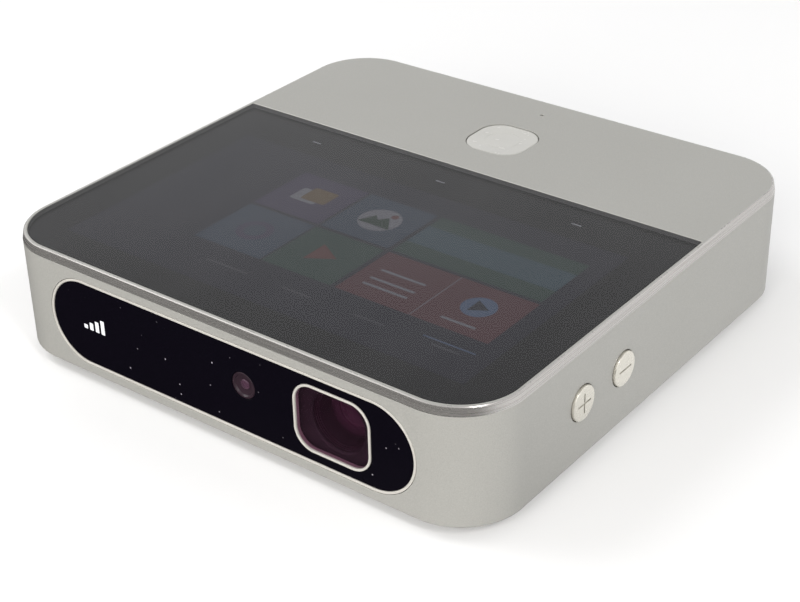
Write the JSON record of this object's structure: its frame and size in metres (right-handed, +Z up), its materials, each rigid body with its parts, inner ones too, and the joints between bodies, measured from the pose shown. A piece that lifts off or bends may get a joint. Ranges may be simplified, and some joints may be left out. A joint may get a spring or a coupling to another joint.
{
  "type": "mobile hotspot projector",
  "caption": "Square flat pocket projector with a built-in mobile hotspot, touchscreen top, round-ended front lens window and silver shell.",
  "frame": {"origin": "on the surface it stands on, under the middle of the body", "axes": "+Z up, -Y the way the lens looks, +X the wall with the volume buttons, +Y the wall with the sockets"},
  "size_m": [0.1346, 0.131, 0.031],
  "materials": {
    "silver_shell": "fine satin silver lacquer over metal, warm grey",
    "bright_trim": "polished and anodised, pale champagne",
    "screen_glass": "black-bordered touch glass, glossy, with a dim picture under it",
    "window_glass": "near-black gloss pane",
    "lens_glass": "plum-coated optical glass",
    "button_white": "glossy milky white",
    "black_plastic": "fine moulded texture",
    "grey_plastic": "fine moulded texture",
    "foot_rubber": "soft matt rubber",
    "plated_steel": "nickel-plated, lightly brushed",
    "brass_insert": "turned brass",
    "cast_aluminium": "bead-blasted",
    "copper_pipe": "bare copper",
    "circuit_board": "green solder mask",
    "battery_wrap": "dark shrink film",
    "display_layer": "lit panel seen through the glass"
  },
  "bodies": {
    "body": {"main_housing": "silver_shell", "cover_glass": "screen_glass", "display_panel": "display_layer", "mid_frame": "cast_aluminium", "exhaust_grille": "grey_plastic", "speaker_grille": "grey_plastic", "front_window": "window_glass", "front_window_rim": "bright_trim", "lens_bezel": "bright_trim", "lens_cover_glass": "lens_glass", "lens_barrel": "black_plastic", "projection_lens": "lens_glass", "camera_lens": "lens_glass", "camera_module": "black_plastic", "power_switch": "circuit_board", "volume_switch_board": "circuit_board", "microphone": "plated_steel", "base_plate": "black_plastic", "kickstand_pin": "plated_steel", "tripod_insert": "brass_insert", "foot_front_left": "foot_rubber", "foot_front_right": "foot_rubber", "foot_rear_right": "foot_rubber", "foot_rear_left": "foot_rubber", "base_screw_front_left": "plated_steel", "base_screw_front_right": "plated_steel", "base_screw_rear_right": "plated_steel", "base_screw_rear_left": "plated_steel", "main_board": "circuit_board", "battery": "battery_wrap", "hotspot_module": "plated_steel", "processor_shield": "plated_steel", "antenna_left": "grey_plastic", "antenna_right": "grey_plastic", "speaker": "black_plastic", "optical_engine": "grey_plastic", "lamp_heat_sink": "cast_aluminium", "heat_pipe": "copper_pipe", "exhaust_fins": "cast_aluminium", "fan_housing": "black_plastic", "fan_shaft": "plated_steel", "hdmi_port": "plated_steel", "usb_port": "plated_steel", "dc_jack": "black_plastic", "audio_jack": "black_plastic", "card_reader": "plated_steel", "card_door_pin": "plated_steel"},
    "power_button": {"power_button": "button_white"},
    "volume_up": {"volume_up_button": "bright_trim"},
    "volume_down": {"volume_down_button": "bright_trim"},
    "kickstand": {"kickstand": "cast_aluminium"},
    "fan": {"fan_rotor": "black_plastic"},
    "card_door": {"card_door": "silver_shell"}
  },
  "joints": [
    {"name": "power_button_press", "type": "slide", "parent": "body", "child": "power_button", "axis": [0, 0, -1], "range_m": [0, 0.0004], "stiffness_N_per_m": 800, "springref_m": -0.0002},
    {"name": "volume_up_press", "type": "slide", "parent": "body", "child": "volume_up", "axis": [-1, 0, 0], "range_m": [0, 0.00035], "stiffness_N_per_m": 800, "springref_m": -0.0002},
    {"name": "volume_down_press", "type": "slide", "parent": "body", "child": "volume_down", "axis": [-1, 0, 0], "range_m": [0, 0.00035], "stiffness_N_per_m": 800, "springref_m": -0.0002},
    {"name": "kickstand_fold", "type": "hinge", "parent": "body", "child": "kickstand", "pos_m": [0, -0.052, 0.002], "axis": [-1, 0, 0], "range_deg": [0, 95]},
    {"name": "card_door_open", "type": "hinge", "parent": "body", "child": "card_door", "pos_m": [-0.0382, 0.0647, 0.0134], "axis": [-1, 0, 0], "range_deg": [0, 85]},
    {"name": "fan_spin", "type": "hinge", "parent": "body", "child": "fan", "pos_m": [-0.029, -0.017, 0.0105], "axis": [0, 0, 1], "continuous": true}
  ]
}
